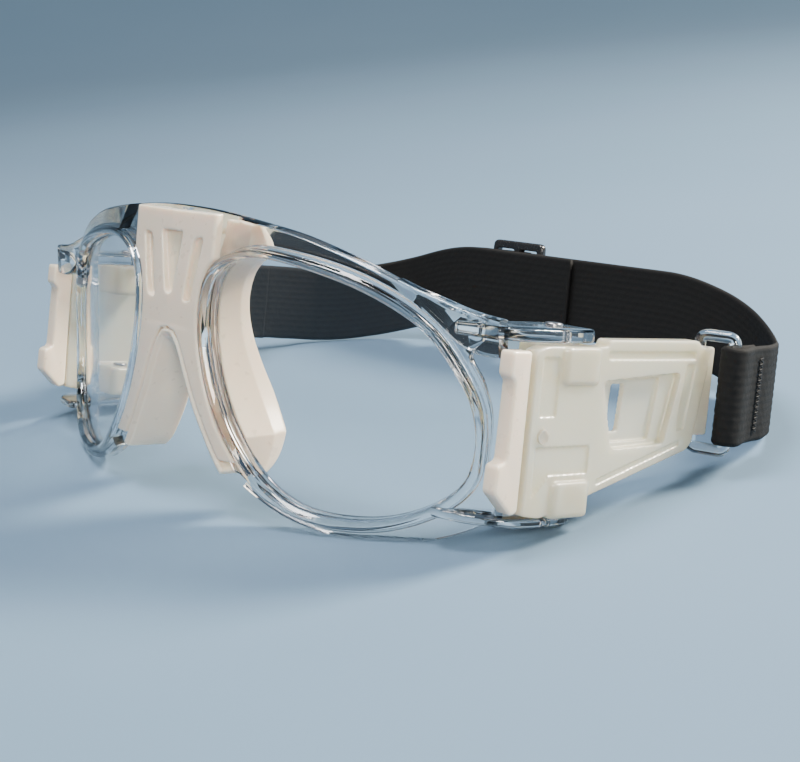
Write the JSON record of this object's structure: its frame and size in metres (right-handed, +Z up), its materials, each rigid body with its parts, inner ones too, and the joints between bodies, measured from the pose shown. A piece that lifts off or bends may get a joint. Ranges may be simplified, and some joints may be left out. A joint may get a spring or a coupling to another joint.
{
  "type": "sports protective goggles",
  "caption": "Wrapped clear sports goggles with milky bridge pad, folding side arms, swinging strap rings and an elastic head strap with a slider.",
  "frame": {"origin": "centre of the footprint, on the surface the goggles stand on", "axes": "+Z up from the resting surface, -Y out of the front of the lenses, +X to the wearer's left"},
  "size_m": [0.162, 0.1188, 0.0557],
  "materials": {
    "clear_shell": "crystal clear moulded polycarbonate, polished",
    "lens": "clear hard-coated polycarbonate lens",
    "milky_silicone": "milky translucent silicone, satin",
    "frosted_arm": "frosted translucent polymer",
    "pin_steel": "small steel pin",
    "webbing": "black woven elastic webbing",
    "thread": "black sewing thread",
    "slider_plastic": "glossy black moulded plastic"
  },
  "bodies": {
    "front": {"frame_front": "clear_shell", "nose_bridge_pad": "milky_silicone", "lens_left": "lens", "lens_right": "lens", "pin_upper_left": "pin_steel", "pin_lower_left": "pin_steel", "pin_upper_right": "pin_steel", "pin_lower_right": "pin_steel"},
    "left_arm": {"arm_left": "frosted_arm", "temple_pad_left": "milky_silicone", "arm_plug_left": "frosted_arm"},
    "right_arm": {"arm_right": "frosted_arm", "temple_pad_right": "milky_silicone", "arm_plug_right": "frosted_arm"},
    "left_ring": {"ring_left": "clear_shell"},
    "right_ring": {"ring_right": "clear_shell"},
    "left_strap_side": {"strap_side_left": "webbing", "bar_tack_left": "thread"},
    "right_strap_side": {"strap_side_right": "webbing", "bar_tack_right": "thread"},
    "left_strap_back": {"strap_back_left": "webbing"},
    "right_strap_back": {"strap_back_right": "webbing"},
    "slider_body": {"slider": "slider_plastic", "strap_tail": "webbing", "bar_tack_tail": "thread"}
  },
  "joints": [
    {"name": "left_arm_fold", "type": "hinge", "parent": "front", "child": "left_arm", "pos_m": [0.067, -0.02346, 0.02671], "axis": [0, 0.2436, 0.9699], "range_deg": [0, 35]},
    {"name": "right_arm_fold", "type": "hinge", "parent": "front", "child": "right_arm", "pos_m": [-0.067, -0.02346, 0.02671], "axis": [0, 0.2436, 0.9699], "range_deg": [-35, 0]},
    {"name": "left_ring_swing", "type": "hinge", "parent": "left_arm", "child": "left_ring", "pos_m": [0.0716, 0.00927, 0.01539], "axis": [0, 0.2436, 0.9699], "range_deg": [-35, 0]},
    {"name": "right_ring_swing", "type": "hinge", "parent": "right_arm", "child": "right_ring", "pos_m": [-0.0716, 0.00927, 0.01539], "axis": [0, 0.2436, 0.9699], "range_deg": [0, 35]},
    {"name": "left_strap_side_swing", "type": "hinge", "parent": "left_ring", "child": "left_strap_side", "pos_m": [0.0784, 0.01092, 0.01498], "axis": [0, 0.2436, 0.9699], "range_deg": [-63, 0]},
    {"name": "right_strap_side_swing", "type": "hinge", "parent": "right_ring", "child": "right_strap_side", "pos_m": [-0.0784, 0.01092, 0.01498], "axis": [0, 0.2436, 0.9699], "range_deg": [0, 63]},
    {"name": "left_strap_corner", "type": "hinge", "parent": "left_strap_side", "child": "left_strap_back", "pos_m": [0.0726, 0.03061, 0.01003], "axis": [0, 0.2436, 0.9699], "range_deg": [0, 63]},
    {"name": "right_strap_corner", "type": "hinge", "parent": "right_strap_side", "child": "right_strap_back", "pos_m": [-0.0726, 0.03061, 0.01003], "axis": [0, 0.2436, 0.9699], "range_deg": [-63, 0]},
    {"name": "slider_slide", "type": "slide", "parent": "left_strap_back", "child": "slider_body", "axis": [1, 0, 0], "range_m": [-0.008, 0.01]}
  ],
  "couplings": [
    {"joint": "right_arm_fold", "follows": "left_arm_fold", "ratio": -1},
    {"joint": "left_ring_swing", "follows": "left_arm_fold", "ratio": -1},
    {"joint": "right_ring_swing", "follows": "left_arm_fold", "ratio": 1},
    {"joint": "left_strap_side_swing", "follows": "left_arm_fold", "ratio": -1.8},
    {"joint": "right_strap_side_swing", "follows": "left_arm_fold", "ratio": 1.8},
    {"joint": "left_strap_corner", "follows": "left_arm_fold", "ratio": 1.8},
    {"joint": "right_strap_corner", "follows": "left_arm_fold", "ratio": -1.8}
  ]
}
